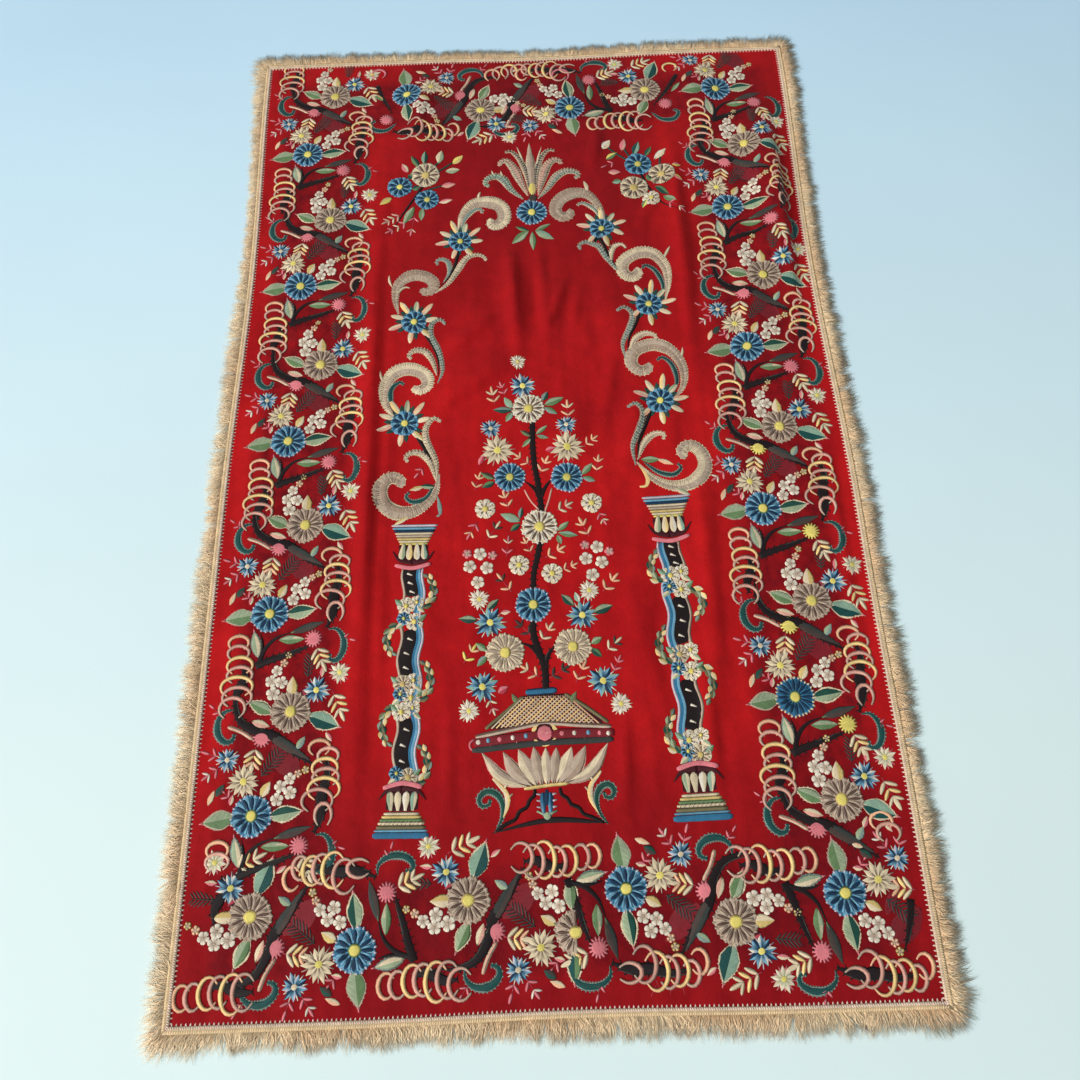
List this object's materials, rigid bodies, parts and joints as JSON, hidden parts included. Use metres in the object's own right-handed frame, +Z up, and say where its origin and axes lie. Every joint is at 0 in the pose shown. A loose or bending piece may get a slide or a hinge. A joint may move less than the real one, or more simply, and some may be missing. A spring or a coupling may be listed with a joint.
{
  "type": "embroidered prayer rug, a wool cloth laid flat",
  "caption": "Rectangular prayer rug laid flat: one red wool cloth with a thread-worked arch, a narrow header braid sewn round its edge and a brush fringe on all four sides.",
  "frame": {"origin": "bottom centre of the bounding box, on the level underside, under the middle of the cloth", "axes": "+Y along the rug's length, towards the end with the arch; +X across the rug to the right when it is read from its lower end; +Z up, out of the worked face"},
  "size_m": [1.1566, 1.8514, 0.0249],
  "materials": {
    "red_wool": "felted wool with a soft nap",
    "braid": "woven narrow braid, matt",
    "fringe": "brushed yarn, soft sheen",
    "thread": "chain-stitched thread in many colours, soft sheen"
  },
  "bodies": {
    "root": {"cloth": "red_wool", "braid_left": "braid", "braid_right": "braid", "braid_near": "braid", "braid_far": "braid", "fringe_left": "fringe", "fringe_right": "fringe", "fringe_near": "fringe", "fringe_far": "fringe"}
  },
  "joints": []
}
